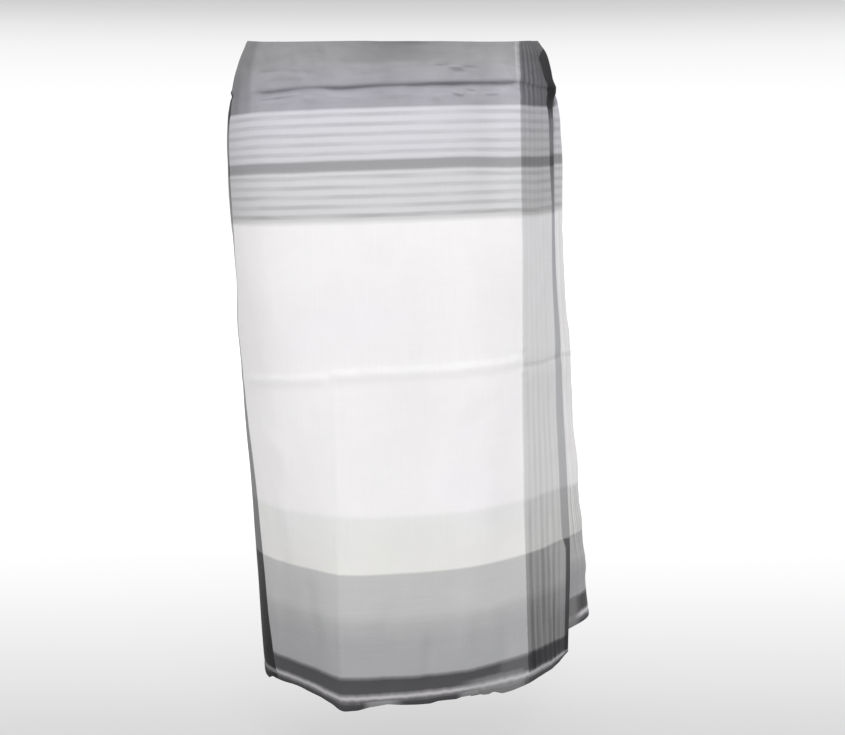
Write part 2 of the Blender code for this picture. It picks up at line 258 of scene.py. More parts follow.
creases = {        # troughs (out below 0) and ridges, each along a line on the cloth
    "columns": ("uStart", "vStart", "uStop", "vStop", "out", "half"),
    "wander": (0.35, 60.0, 90.0),        # share of its half width, turns along it, and from one to the next
    "taper": (0.30, 0.035),              # share of its length, and at most
    "rows": (
        # the upright ironed crease down the ridge, and one at the back
        (-0.2995, 0.470, -0.300, 0.700, 0.0009, 0.0034), (-0.300, 0.680, -0.306, 0.974, 0.0014, 0.0034),
        (1.060, 0.090, 1.064, 0.520, 0.001, 0.004), (1.064, 0.500, 1.056, 0.950, 0.0014, 0.0042),
        # small wrinkles over the waist crease
        (-0.410, 0.049, -0.360, 0.0495, -0.0017, 0.003), (-0.370, 0.050, -0.300, 0.056, -0.001, 0.0036),
        (-0.395, 0.059, -0.320, 0.060, 0.001, 0.004), (-0.345, 0.042, -0.325, 0.062, 0.0012, 0.006),
        (-0.290, 0.040, -0.150, 0.0395, -0.0015, 0.0046), (-0.250, 0.061, -0.200, 0.057, -0.0008, 0.0034),
        (-0.144, 0.049, -0.118, 0.046, -0.0022, 0.0022), (-0.126, 0.050, -0.098, 0.052, 0.0024, 0.002),
        (-0.120, 0.056, -0.090, 0.060, -0.0022, 0.002), (-0.106, 0.052, -0.074, 0.054, -0.0018, 0.0022),
        (-0.060, 0.040, -0.010, 0.046, -0.0007, 0.0036), (-0.119, 0.084, -0.100, 0.090, 0.003, 0.0026),
        (-0.100, 0.082, -0.080, 0.088, -0.0026, 0.0024), (-0.070, 0.088, -0.040, 0.087, 0.0016, 0.0024),
        (-0.150, 0.093, -0.130, 0.094, 0.001, 0.004), (-0.330, 0.087, -0.310, 0.092, 0.0013, 0.004),
        (-0.470, 0.030, -0.430, 0.045, -0.001, 0.005), (-0.530, 0.074, -0.468, 0.076, 0.0014, 0.003),
        (-0.530, 0.081, -0.472, 0.082, -0.0014, 0.003), (-0.421, 0.010, -0.418, 0.108, 0.0012, 0.005),
        (-0.245, 0.004, -0.130, 0.004, -0.0022, 0.005), (-0.560, 0.050, -0.650, 0.058, -0.0014, 0.005),
        (-0.700, 0.042, -0.790, 0.052, -0.0016, 0.0045), (1.000, 0.062, 1.090, 0.056, -0.0014, 0.005),
        (0.960, 0.044, 1.040, 0.056, -0.0015, 0.0045), (0.850, 0.056, 0.920, 0.048, -0.0013, 0.0045),
        (0.018, 0.062, 0.060, 0.056, -0.001, 0.0034), (0.030, 0.042, 0.082, 0.034, -0.001, 0.004),
        (-0.348, 0.004, -0.338, 0.040, 0.0016, 0.007), (-0.312, 0.006, -0.300, 0.048, -0.0014, 0.008),
        (-0.264, 0.020, -0.250, 0.060, 0.0014, 0.008), (-0.160, 0.010, -0.150, 0.042, 0.0012, 0.009),
        (-0.090, 0.004, -0.070, 0.030, -0.001, 0.009), (-0.404, 0.008, -0.392, 0.044, -0.0012, 0.007),
        (-0.385, 0.087, -0.330, 0.0835, 0.0012, 0.0022), (-0.405, 0.090, -0.350, 0.0885, -0.001, 0.0022),
        (-0.300, 0.088, -0.250, 0.090, 0.001, 0.0026), (-0.220, 0.089, -0.170, 0.086, 0.0008, 0.0026),
        # soft troughs of the lower front, deeper towards the hem
        (-0.233, 0.810, -0.240, 0.974, -0.002, 0.014), (-0.174, 0.860, -0.172, 0.974, -0.0026, 0.008),
        (-0.122, 0.800, -0.108, 0.974, 0.0024, 0.015), (-0.050, 0.840, -0.043, 0.974, -0.002, 0.016),
        (-0.364, 0.780, -0.356, 0.974, -0.0018, 0.016), (-0.450, 0.760, -0.456, 0.974, 0.0016, 0.014),
        (-0.410, 0.560, -0.395, 0.780, 0.0012, 0.022), (-0.090, 0.520, -0.105, 0.740, -0.001, 0.028),
        (-0.230, 0.130, -0.245, 0.360, -0.0008, 0.026), (-0.130, 0.160, -0.100, 0.300, 0.0008, 0.024),
        # pulls that run from the fold, on the panel and the cloth behind it
        (0.030, 0.300, 0.086, 0.220, -0.0009, 0.011), (0.020, 0.430, 0.080, 0.330, 0.0008, 0.012),
        (0.082, 0.100, 0.090, 0.150, 0.0024, 0.009), (0.050, 0.700, 0.064, 0.960, -0.0014, 0.009),
        (0.810, 0.078, 0.810, 0.150, 0.003, 0.040), (0.820, 0.500, 0.820, 0.760, -0.002, 0.045),
        (0.830, 0.880, 0.830, 1.040, -0.003, 0.040), (0.790, 0.300, 0.800, 0.680, -0.0016, 0.010),
        (0.840, 0.420, 0.850, 0.930, 0.0022, 0.016),
        # the left side and back, similar and uneven
        (-0.560, 0.130, -0.660, 0.230, -0.0014, 0.011), (-0.690, 0.120, -0.790, 0.200, 0.0016, 0.013),
        (0.970, 0.280, 1.050, 0.380, -0.0014, 0.012), (1.090, 0.140, 1.000, 0.250, 0.0015, 0.013),
        (0.930, 0.120, 0.990, 0.210, -0.0015, 0.011), (-0.600, 0.280, -0.610, 0.600, 0.0014, 0.020),
        (-0.730, 0.560, -0.760, 0.780, -0.0012, 0.018), (1.060, 0.560, 1.030, 0.800, 0.0013, 0.020),
    ),
}
ripples = {        # waves of hung cotton, as (amplitude, waves a metre along u, along v, phase)
    "quiet": (0.35, 0.02, 0.30), "join": 0.040,          # calmer at the waist, and none where the plan starts
    "rows": ((0.00040, 6.1, 1.1, 0.4), (0.00035, 4.3, -3.2, 2.1), (0.00016, 13.0, 2.3, 4.2),
             (0.00010, 23.0, -5.0, 1.3), (0.00006, 41.0, 17.0, 5.1), (0.00030, 1.1, 5.7, 3.3)),
    "seamPucker": (0.00030, 0.011, 62.0, 21.0),      # amplitude, reach, puckers a metre, how they vary
}
turnings = {       # where the cloth lies double: beside the seam, and turned over at the top
    "seam": {"out": 0.00045, "rises": (-0.0070, -0.0055), "falls": (0.0010, 0.0022)},
    "top": {"out": 0.0005, "falls": (0.0070, 0.0085)},
}
# where the waist crease bunches at the outer fold
foldBulge = {"u": 0.0990, "v": 0.0834, "halfU": 0.016, "halfV": 0.0112, "out": 0.0056}
hem = {            # its turning, and how much lower the edge hangs at each place along the cut
    "start": 0.9660, "out": 0.00055, "soft": 0.0012, "wave": (0.0007, 71.0, 23.0), "dropFrom": 0.9600,
    "drops": ((-0.8654, 0.0), (-0.62, 0.0006), (-0.5155, 0.0022), (-0.497, 0.0030), (-0.485, -0.0034),
              (-0.40, -0.0074), (-0.35, -0.0066), (-0.322, -0.0036), (-0.310, 0.0004), (-0.298, 0.0026),
              (-0.280, 0.0020), (-0.262, -0.0028), (-0.236, -0.0054), (-0.216, -0.0028),
              (-0.180, -0.0006), (-0.172, 0.0000), (-0.160, -0.0018), (-0.132, -0.0016),
              (-0.124, -0.0038), (-0.098, -0.0036), (-0.088, -0.0004), (-0.080, 0.0002),
              (-0.070, -0.0024), (-0.055, 0.0028), (-0.035, 0.0026), (-0.014, 0.0002), (0.002, -0.0028),
              (0.016, -0.0060), (0.03, -0.0066), (0.05, -0.0048), (0.072, -0.0060), (0.086, -0.0094),
              (0.0978, -0.0116), (0.13, -0.0100), (0.17, -0.0060), (0.25, 0.0), (0.62, 0.0),
              (0.71, 0.0042), (0.85, 0.0042), (0.93, 0.0008), (1.14, 0.0)),
}
sideRun = {        # how the left side's outline bows in and out on its way down
    "u": -0.535, "halfU": 0.050,
    "rows": ((0.000, -0.0026), (0.050, -0.0016), (0.078, -0.0028), (0.106, -0.0008), (0.150, -0.0024),
             (0.185, -0.0038), (0.220, -0.0026), (0.260, -0.0016), (0.330, -0.0020), (0.360, -0.0026),
             (0.390, 0.0000), (0.430, 0.0024), (0.500, 0.0016), (0.700, 0.0012), (0.974, 0.0004)),
}
bandSag = {        # how much lower the bands lie at each place along the cut, down to where that fades
    "along": ((-1.0747, 0.0), (-0.85, 0.0016), (-0.60, 0.0050), (-0.5155, 0.0056), (-0.47, 0.0042),
              (-0.40, 0.0022), (-0.30, 0.0006), (-0.10, 0.0), (-0.02, 0.0004), (0.0, 0.0006),
              (0.02, 0.0016), (0.04, 0.0021), (0.12, 0.0023), (0.60, 0.0)),
    "fades": (0.26, 0.50),
}
bandDrops = {      # places where a band hangs a little lower or higher than its neighbours
    "columns": ("u", "v", "halfU", "halfV", "drop"),
    "rows": ((-0.200, 0.183, 0.130, 0.022, -0.0016), (-0.110, 0.183, 0.035, 0.022, -0.0008),
             (-0.020, 0.183, 0.030, 0.022, 0.0011), (-0.420, 0.262, 0.100, 0.022, 0.0014),
             (-0.010, 0.262, 0.030, 0.022, 0.0011), (0.045, 0.240, 0.045, 0.050, 0.0017),
             (-0.280, 0.776, 0.050, 0.030, 0.0017), (-0.005, 0.776, 0.050, 0.030, 0.0020),
             (0.080, 0.776, 0.022, 0.030, -0.0026), (0.012, 0.692, 0.022, 0.030, 0.0038),
             (0.775, 0.776, 0.070, 0.060, 0.0062), (0.775, 0.690, 0.070, 0.040, 0.0014),
             (-0.150, 0.930, 0.120, 0.012, 0.0031), (-0.400, 0.957, 0.085, 0.012, -0.0033),
             (0.085, 0.928, 0.030, 0.014, 0.0058), (0.025, 0.957, 0.020, 0.012, -0.0028),
             (0.820, 0.954, 0.055, 0.030, 0.0042)),
}


def creaseRelief(u, v):
    total = np.zeros_like(u)
    for values in creases["rows"]:
        c = dict(zip(creases["columns"], values))
        along = np.array([c["uStop"] - c["uStart"], c["vStop"] - c["vStart"]])
        length = np.linalg.norm(along)
        along = along / length
        far = (u - c["uStart"]) * along[0] + (v - c["vStart"]) * along[1]
        aside = (v - c["vStart"]) * along[0] - (u - c["uStart"]) * along[1]
        share, turns, shift = creases["wander"]
        wander = share * c["half"] * np.sin(far * turns + c["uStart"] * shift)
        taper = min(creases["taper"][0] * length, creases["taper"][1])
        total += c["out"] * bell(aside, wander, c["half"]) * (
            smoothStep(far, 0.0, taper) * (1 - smoothStep(far, length - taper, length)))
    return total


def fineRelief(u, v):                # how far the cloth stands out from the plan at (u, v)
    far, quick, slow = waistCrease["wander"]
    level = np.interp(u, *np.array(waistCrease["path"]).T) + far * np.sin(u * quick) * np.sin(u * slow + 1.0)
    waist = np.interp(v - level + waistCrease["level"], *np.array(waistCrease["profile"]).T)
    relief = waist * np.interp(u, *np.array(waistCrease["strength"]).T)
    relief += creaseRelief(u, v)
    far, quick = ironed["wander"]
    past = v - np.interp(u, *np.array(ironed["path"]).T) - far * np.sin(u * quick)
    below = ironed["underShare"] * bell(past, ironed["under"], ironed["underHalf"])
    pressed = ironed["share"] * np.interp(u, *np.array(ironed["out"]).T)
    relief += pressed * (bell(past, 0.0, ironed["half"]) - below)
    back, end, join = cutPlaces["back"], cutPlaces["end"], ripples["join"]
    closes = np.minimum(smoothStep(u, back, back + join), 1 - smoothStep(u, end - join, end))
    least, quietTo, loudFrom = ripples["quiet"]
    quiet = least + (1 - least) * smoothStep(v, quietTo, loudFrom)
    waves = np.zeros_like(u)
    for out, acrossU, acrossV, phase in ripples["rows"]:
        waves += out * np.sin(2 * math.pi * (acrossU * u + acrossV * v) + phase)
    relief += waves * quiet * closes
    out, reach, often, vary = ripples["seamPucker"]
    relief += out * bell(u, 0.0, reach) * np.sin(2 * math.pi * often * v + 3.0 * np.sin(v * vary))
    seam, top, bulge = turnings["seam"], turnings["top"], foldBulge
    relief += seam["out"] * (smoothStep(u, *seam["rises"]) - smoothStep(u, *seam["falls"]))
    relief += bulge["out"] * bell(u, bulge["u"], bulge["halfU"]) * bell(v, bulge["v"], bulge["halfV"])
    relief += hem["out"] * smoothStep(v, hem["start"], hem["start"] + hem["soft"])
    relief += top["out"] * (1 - smoothStep(v, *top["falls"]))
    relief += bell(u, sideRun["u"], sideRun["halfU"]) * np.interp(v, *np.array(sideRun["rows"]).T)
    return relief


def standOut(loop, down):
    away = unit(loop - np.array([0.0, cloth["axisY"]]))
    bearing = np.degrees(np.arctan2(away[:, 0], -away[:, 1]))
    out = np.zeros(len(loop))
    for values in backFolds["rows"]:
        f = dict(zip(backFolds["columns"], values))
        off = (bearing - f["bearing"] + 180.0) % 360.0 - 180.0
        out += f["out"] * smoothStep(down, f["fromDown"], cloth["length"]) * np.exp(-((off / f["half"]) ** 2))
    return loop + away * out[:, None]


def onceRound(u):                    # the same place on the tube, between the plan's start and its end
    around = cutPlaces["end"] - cutPlaces["back"]
    return np.where(u < cutPlaces["back"], u + around, np.where(u > cutPlaces["end"], u - around, u))


def clothGrid(downs, us):            # points by row down and column round, and their outward normals
    margin = cloth["margin"]
    wide = np.concatenate([[us[0] - margin], us, [us[-1] + margin]])
    rows = []
    for down in downs:
        v = min(max(down, 0.0), cloth["length"])
        loop, along, index, lifted = planLoop(v)
        loop = standOut(loop, v)
        along = lengthAlong(loop)
        at = np.interp(onceRound(wide), list(cutPlaces.values()), [along[index[n]] for n in cutPlaces])
        plan = np.stack([np.interp(at, along, loop[:, k]) for k in (0, 1)], axis=1)
        dip = cloth["topDip"] * smoothStep(-plan[:, 1], *cloth["topDipReach"])
        edge = cloth["topSlope"] * (cloth["leftMost"] - plan[:, 0]) - dip
        height = np.interp(at, along, lifted) - down + edge * max(0.0, 1.0 - v / cloth["topBand"])
        rows.append(np.column_stack([plan, height]))
    points = np.array(rows)
    uu, vv = np.meshgrid(onceRound(wide), downs)
    points = points + gridNormals(points) * fineRelief(uu, vv)[..., None]
    far, quick, slow = hem["wave"]
    drop = np.interp(uu, *np.array(hem["drops"]).T) + far * np.sin(uu * quick) * np.sin(uu * slow + 2.0)
    points[..., 2] -= drop * smoothStep(vv, hem["dropFrom"], cloth["length"])
    return points[:, 1:-1], gridNormals(points)[:, 1:-1]


def gridNormals(points):
    acrossU = np.gradient(points, axis=1)
    downV = np.gradient(points, axis=0)
    return unit(np.cross(downV, acrossU))


def shellFaces(rows, columns):       # outer and inner faces, then the edge's
    across, down = np.meshgrid(np.arange(columns - 1), np.arange(rows - 1))
    here = (down * columns + across).ravel()
    outer = np.stack([here, here + columns, here + columns + 1, here + 1], axis=1)
    inner = outer[:, ::-1] + rows * columns
    rim = [(0, c) for c in range(columns)] + [(r, columns - 1) for r in range(1, rows)]
    rim += [(rows - 1, c) for c in range(columns - 2, -1, -1)] + [(r, 0) for r in range(rows - 2, 0, -1)]
    rim = np.array([r * columns + c for r, c in rim])
    after = np.roll(rim, -1)
    edge = np.stack([rim, after, after + rows * columns, rim + rows * columns], axis=1)
    return np.concatenate([outer, inner]), edge


def layOut(downs, us):               # where each point lies on the cut, as its bands hang
    uu, vv = np.meshgrid(us, downs)
    sag = np.interp(uu, *np.array(bandSag["along"]).T) * (1 - smoothStep(vv, *bandSag["fades"]))
    for values in bandDrops["rows"]:
        d = dict(zip(bandDrops["columns"], values))
        sag += d["drop"] * bell(uu, d["u"], d["halfU"]) * bell(vv, d["v"], d["halfV"])
    flat = np.stack([uu.ravel(), (vv - sag).ravel()], axis=1)
    return np.concatenate([flat, flat])


def thinShell(name, downs, us):
    points, normals = clothGrid(downs, us)
    lift = (normals * cloth["thickness"] / 2).reshape(-1, 3)
    both = np.concatenate([points.reshape(-1, 3) + lift, points.reshape(-1, 3) - lift])
    walls, edge = shellFaces(*points.shape[:2])
    mesh = bpy.data.meshes.new(name)
    mesh.from_pydata(both.tolist(), [], np.concatenate([walls, edge]).tolist())
    layer = mesh.uv_layers.new(name="cloth")
    corners = np.empty(len(mesh.loops), np.int32)
    mesh.loops.foreach_get("vertex_index", corners)
    layer.data.foreach_set("uv", layOut(downs, us)[corners].astype(np.float32).ravel())
    smooth = np.concatenate([normals.reshape(-1, 3), -normals.reshape(-1, 3)])[corners]
    sides = unit(np.cross(both[edge[:, 2]] - both[edge[:, 0]], both[edge[:, 3]] - both[edge[:, 1]]))
    smooth[len(walls) * 4:] = np.repeat(sides, 4, axis=0)
    mesh.polygons.foreach_set("use_smooth", [True] * len(mesh.polygons))
    mesh.normals_split_custom_set(smooth.tolist())
    mesh.update()
    piece = bpy.data.objects.new(name, mesh)
    bpy.context.scene.collection.objects.link(piece)
    return piece


def spread(*stretches):              # (from, to, step) joined into one rising list
    parts = [np.linspace(a, b, max(2, round((b - a) / step) + 1))[:-1] for a, b, step in stretches]
    return np.concatenate(parts + [[stretches[-1][1]]])


# The shades. Each tone is the one the cloth shows in even light, 0 to 255, as its red, and how
# far its green and blue lie from it.
shades = {
    "light": 1.25,              # how bright the studio makes a face turned to it
    "columns": ("down", "tone", "green", "blue"),
    "body": (                   # the plain cloth, from the waist to the hem
        (0.000, 145, 0, 2), (0.030, 149, 0, 2), (0.060, 159, -1, 4), (0.080, 164, -1, 6),
        (0.1030, 168, -1, 6), (0.1058, 213, -1, 5), (0.1748, 213, -1, 4), (0.1773, 160, 0, 3),
        (0.1900, 159, 0, 2), (0.1926, 215, 0, 2), (0.2530, 213, 0, 2), (0.2598, 210, 0, 0),
        (0.2648, 243, -2, -1), (0.4000, 241, -2, -1), (0.6868, 245, -2, -1), (0.6930, 234, 0, -1),
        (0.7735, 233, -1, -3), (0.7760, 196, 0, 0), (0.8350, 194, 0, 0), (0.8500, 181, 0, 1),
        (0.8780, 171, 0, 2), (0.9270, 169, 0, 2), (0.9290, 76, 0, 2), (0.9535, 80, 0, 2),
        (0.9575, 196, -3, 0), (0.9604, 190, -3, 0), (0.9634, 74, 0, 2), (0.9740, 56, 0, 2)),
    "panel": (                  # where the dark stripes of the head panel lie closest
        (0.000, 92, 0, 4), (0.018, 87, 0, 4), (0.060, 90, 0, 5), (0.1030, 98, 0, 5),
        (0.1058, 172, -1, 4), (0.1748, 172, 0, 2), (0.1773, 116, 0, 1), (0.1900, 116, 0, 1),
        (0.1926, 176, 0, 2), (0.2590, 180, 0, 1), (0.2640, 220, 0, 2), (0.4800, 218, 0, 1),
        (0.5200, 211, 0, 1), (0.6860, 209, 0, 1), (0.6920, 190, 0, 0), (0.7735, 186, 0, 0),
        (0.7760, 132, 0, 1), (0.8400, 124, 0, 1), (0.8550, 108, 0, 1), (0.9268, 98, 0, 1),
        (0.9284, 36, 0, 3), (0.9550, 34, 0, 3), (0.9562, 172, -1, 2), (0.9616, 168, -1, 2),
        (0.9646, 58, 0, 2), (0.9740, 52, 0, 2)),
    "edgeStripe": (             # the dark stripe along the outer fold and the left side
        (0.000, 44, 0, 3), (0.0700, 36, 0, 3), (0.0820, 26, 0, 3), (0.1060, 30, 0, 3),
        (0.1180, 84, 0, 3), (0.1260, 110, 0, 3), (0.1500, 122, 0, 3), (0.1742, 112, 0, 3),
        (0.1767, 70, 0, 2), (0.1906, 70, 0, 2), (0.1932, 112, 0, 3), (0.2590, 136, 0, 4),
        (0.2640, 170, 0, 4), (0.5000, 184, 0, 3), (0.6000, 186, 0, 2), (0.6860, 184, 0, 2),
        (0.6920, 170, 0, 2), (0.7735, 162, 0, 1), (0.7760, 84, 0, 2), (0.8500, 68, 0, 2),
        (0.9268, 54, 0, 2), (0.9284, 26, 0, 2), (0.9560, 26, 0, 2), (0.9580, 140, 0, 2),
        (0.9624, 136, 0, 2), (0.9648, 40, 0, 2), (0.9740, 40, 0, 2)),
    # nearBlack: the near-black that painted shade is mixed towards; the weft stripes keep their own
    "thread": (0.62, 0.62, 0.64, 1.0), "nearBlack": (0.03, 0.03, 0.032, 1.0),
}
weftStripes = {      # the thin stripes above and below the thick one
    "columns": ("first", "pitch", "half", "from", "to"),
    "rows": ((0.1130, 0.01335, 0.0036, 0.1065, 0.1725), (0.1998, 0.01328, 0.0036, 0.1935, 0.2575)),
    "edge": (0.3, 1.35),        # where a stripe starts and stops fading, as shares of its half
    "ends": 0.0008,
    "strength": 0.170, "last": (0.2450, 0.2500, 1.5), "uneven": 0.45, "nearBlack": (0.03, 0.03, 0.035, 1.0),
}
panelStripes = {     # upright stripes between the seam and the outer fold
    "columns": ("across", "half", "strength"),
    "rows": ((0.0095, 0.0050, 0.95), (0.0215, 0.0046, 0.85), (0.0345, 0.0048, 1.00), (0.0478, 0.0046, 0.85),
             (0.0605, 0.0044, 0.90), (0.0730, 0.0040, 0.45)),
    "fineEvery": 0.0044, "fineStrength": 0.35,       # closer dark threads among them
    "worn": (0.30, 0.65, 0.50, 1.12),
    "base": ((0.000, 0.64), (0.100, 0.68), (0.106, 0.78), (0.260, 0.82), (0.450, 0.78), (0.600, 0.62),
             (0.690, 0.60), (0.775, 0.58), (0.974, 0.60)),
    # where the panel starts beside the seam, by distance down, and where it ends under the front
    "start": ((0.000, 0.0000), (0.340, -0.0002), (0.460, -0.0018), (0.500, -0.0042), (0.690, -0.0040),
              (0.760, -0.0016), (0.800, -0.0010), (0.974, -0.0004)),
    "startSoft": (-0.0018, 0.0014), "stop": (0.105, 0.125),
    # faint ones on the cloth behind the fold, and how strong they are by distance down
    "behindSpan": (0.690, 0.720, 0.835, 0.880), "faint": (0.42, 0.62, 0.05, 0.42),
    "behind": ((0.000, 1.0), (0.262, 1.0), (0.266, 1.6), (0.450, 1.1), (0.600, 0.7), (0.686, 0.8),
               (0.692, 2.2), (0.773, 2.2), (0.777, 1.3), (0.815, 1.0), (0.860, 0.3), (0.925, 0.3),
               (0.930, 1.0), (0.974, 1.0)),
}
edgeStripes = {      # where the dark stripes of the fold and the left side start and stop, by distance down
    "foldStart": ((0.000, 0.1060), (0.011, 0.0980), (0.020, 0.0740), (0.028, 0.0640), (0.044, 0.0640),
                  (0.062, 0.0690), (0.072, 0.0770), (0.082, 0.0790), (0.100, 0.0760), (0.1150, 0.0780),
                  (0.150, 0.0845), (0.190, 0.0850), (0.245, 0.0900), (0.300, 0.0880), (0.350, 0.0855),
                  (0.450, 0.0835), (0.580, 0.0795), (0.735, 0.0785), (0.770, 0.0800), (0.790, 0.0880),
                  (0.974, 0.0880)),
    "foldStop": ((0.000, 0.1060), (0.150, 0.1060), (0.240, 0.0990), (0.735, 0.0985), (0.780, 0.1060),
                 (0.974, 0.1060)),
    "foldSoft": (-0.0016, 0.0022), "foldStopSoft": (-0.0020, 0.0010),
    "sideStop": ((0.000, -0.4960), (0.060, -0.4930), (0.075, -0.4865), (0.103, -0.4850), (0.110, -0.4885),
                 (0.180, -0.4875), (0.240, -0.4900), (0.300, -0.4965), (0.360, -0.5035), (0.420, -0.5085),
                 (0.470, -0.5095), (0.520, -0.5065), (0.570, -0.5005), (0.620, -0.4945), (0.680, -0.4895),
                 (0.740, -0.4865), (0.800, -0.4840), (0.860, -0.4810), (0.927, -0.4725), (0.974, -0.4670)),
    "sideWide": 0.052, "sideSoft": 0.0015,
    # sideShade scales the left stripe's woven tone by distance down: painted light and shade, darkest by the
    # hem
    "sideShade": ((0.000, 0.60), (0.108, 0.60), (0.118, 1.30), (0.250, 1.30), (0.270, 0.85), (0.480, 0.80),
                  (0.560, 0.58), (0.800, 0.50), (0.900, 0.34), (0.930, 0.14), (0.9550, 0.14), (0.9575, 0.80),
                  (0.9630, 0.80), (0.9650, 0.20), (0.974, 0.20)),
}
# Places where the cloth is darker or paler. Each rises from nothing between the first pair of places
# along the cut ("u", or "across" with the threads' wander) or down it ("v", or "level" with the bands'
# sway), and falls to nothing between the second.
patches = {
    # painted shade: the top of the front darkened towards the outer fold
    "shadeTowardFold": {"amount": 0.42, "rises": {"across": (0.010, 0.075)},
                   "falls": {"v": (0.102, 0.108), "across": (0.110, 0.130)}},
    # painted shade on the hip stretch beside the outer fold: deep at the waist, light below it
    "hipShadeTop": {"amount": 0.88, "rises": {"across": (0.690, 0.700)},
                "falls": {"v": (0.106, 0.109), "across": (0.785, 0.815)}},
    "hipShadeBelow": {"amount": 0.12, "rises": {"across": (0.690, 0.700)},
               "falls": {"v": (0.262, 0.266), "across": (0.785, 0.815)}},
    "paleBorder": {"amount": 0.30, "rises": {"u": (-0.130, -0.098), "level": (0.9420, 0.9500)},
                   "falls": {"u": (-0.018, -0.002)}},
    "wornBorder": {"amount": 0.10, "rises": {"u": (-0.064, -0.048), "level": (0.926, 0.930)},
                   "falls": {"u": (-0.006, -0.002)}},
    "hipLineSpan": {"amount": 1.0, "rises": {"u": (0.758, 0.768)}, "falls": {"u": (0.880, 0.900)}},
    "hipBorder": {"amount": 0.90, "rises": {"u": (0.776, 0.789), "level": (0.925, 0.928)},
                  "falls": {"u": (0.792, 0.804)}},
    # painted shade where the left side turns away at the waist
    "sideTurnShade": {"amount": 0.25, "rises": {"across": (-0.640, -0.540)},
                 "falls": {"across": (-0.432, -0.410), "v": (0.102, 0.106)}},
    "sideDeepShade": {"amount": 0.20, "rises": {"across": (-0.640, -0.540), "v": (0.030, 0.060)},
                 "falls": {"across": (-0.464, -0.440), "v": (0.102, 0.106)}},
    # painted light: the panel's lower part by the fold, and the front beside the seam, made paler
    "nearFold": {"amount": 0.16, "rises": {"u": (0.035, 0.060), "v": (0.775, 0.777)},
                 "falls": {"u": (0.105, 0.125), "v": (0.870, 0.900)}},
    "nearSeam": {"amount": 1.0, "rises": {"u": (-0.078, -0.030)}, "falls": {"u": (-0.003, 0.000)}},
    "onPanel": {"amount": 1.0, "rises": {"u": (-0.002, 0.004)}, "falls": {"u": (0.86, 0.92)}},
}
faded = {            # worn stretches of the border, painted shade at the waist, and the ironed crease's painted highlight and shade
    "hemPale": ((-0.52, 0.0), (-0.345, 0.0), (-0.272, 0.0), (-0.262, 0.40), (-0.232, 0.50), (-0.210, 0.0),
                (-0.132, 0.0), (-0.120, 0.40), (-0.098, 0.45), (-0.090, 0.0), (-0.080, 0.0), (-0.068, 0.30),
                (-0.030, 0.22), (-0.010, 0.05), (0.12, 0.0)),
    "hemSpan": (-0.52, 0.12), "hemFrom": (0.9640, 0.9660), "tone": (0.36, 0.36, 0.365, 1.0),
    "hipTone": (0.168, 0.168, 0.171, 1.0),
    "hipLine": {"level": 0.9595, "half": 0.0042, "amount": 0.75, "tone": (0.50, 0.48, 0.50, 1.0)},
    "waistLine": {"under": 0.0006, "half": 0.0048, "amount": 0.15},     # the waist crease's shaded bottom
    "waistShadeOval": {"u": -0.195, "half": 0.100, "v": 0.0, "halfV": 0.062, "amount": 0.40},
    "lowShadeOval": {"u": -0.200, "half": 0.060, "v": 0.074, "halfV": 0.044, "amount": 0.13},
    # ironLine: a painted highlight along the crease, and painted shade where it crosses the panel
    "ironLine": {"pale": 0.16, "highlightHalf": 0.0060, "up": 0.0056, "highlightTone": (0.85, 0.85, 0.85, 1.0),
                 "dark": 0.12, "darkHalf": 0.0050, "broken": (0.35, 0.60, 0.15, 1.0)},
}
paintedLightAndShade = {         # painted light and shade: how pale the cloth is made across its width, below the stripes, among them, by the hem
    "span": (-0.60, 0.02),
    "middle": ((-0.60, 1.0), (-0.54, 1.055), (-0.48, 1.06), (-0.42, 1.045), (-0.385, 1.04), (-0.33, 1.028),
               (-0.28, 1.018), (-0.22, 1.004), (-0.18, 1.01), (-0.155, 1.03), (-0.12, 1.05), (-0.09, 1.06),
               (-0.06, 1.068), (-0.04, 1.09), (-0.02, 1.105), (-0.003, 1.11), (0.0, 1.0), (0.02, 1.0)),
    "middleFrom": (0.250, 0.270),
    "high": ((-0.60, 1.0), (-0.56, 0.94), (-0.50, 0.90), (-0.46, 0.92), (-0.42, 0.985), (-0.38, 1.0),
             (0.02, 1.0)),
    "highSpan": (0.103, 0.107, 0.258, 0.266),
    "low": ((-0.60, 1.0), (-0.54, 0.95), (-0.48, 0.90), (-0.42, 0.875), (-0.36, 0.89), (-0.32, 0.945),
            (-0.28, 0.98), (-0.22, 1.0), (0.02, 1.0)),
    "lowDown": ((0.000, 0.0), (0.600, 0.0), (0.690, 0.35), (0.775, 0.45), (0.800, 0.80), (0.850, 1.0),
                (0.974, 1.0)),
    "seamDown": ((0.000, 0.13), (0.040, 0.14), (0.060, 0.21), (0.100, 0.21), (0.106, 0.13), (0.250, 0.12),
                 (0.266, 0.0), (0.974, 0.0)),
}
sewing = {           # the pale thread beside the seam, and the running stitches by the hem and the seam
    "paleThread": {"across": -0.0075, "half": 0.0034, "strength": 0.17, "ends": (0.060, 0.078)},
    "hemAt": 0.9662, "hemStitch": 0.0034, "seamAt": -0.0030, "seamStitch": 0.0030,
    "half": 0.00045, "gap": (0.30, 0.36), "strength": 0.14,
}
threads = {          # how the yarn varies, as noise: changes a metre along and down, detail, and layer
    "columns": ("along", "down", "detail", "layer"),
    "sway": (9.0, 2.0, 2.0, 3.0), "frayed": (95.0, 20.0, 3.0, 13.0), "wander": (60.0, 4.0, 2.0, 8.0),
    "worn": (110.0, 7.0, 2.0, 9.0), "faint": (230.0, 1.2, 1.0, 5.0), "patchy": (11.0, 90.0, 2.0, 7.0),
    "broken": (34.0, 4.0, 2.0, 15.0), "weft": (26.0, 620.0, 3.0, 1.0), "weftLong": (9.0, 300.0, 2.0, 2.0),
    "warp": (640.0, 12.0, 3.0, 4.0), "cloudy": (9.0, 11.0, 3.0, 6.0), "rubbed": (30.0, 46.0, 2.0, 17.0),
    "tint": (6.0, 8.0, 2.0, 11.0),
}
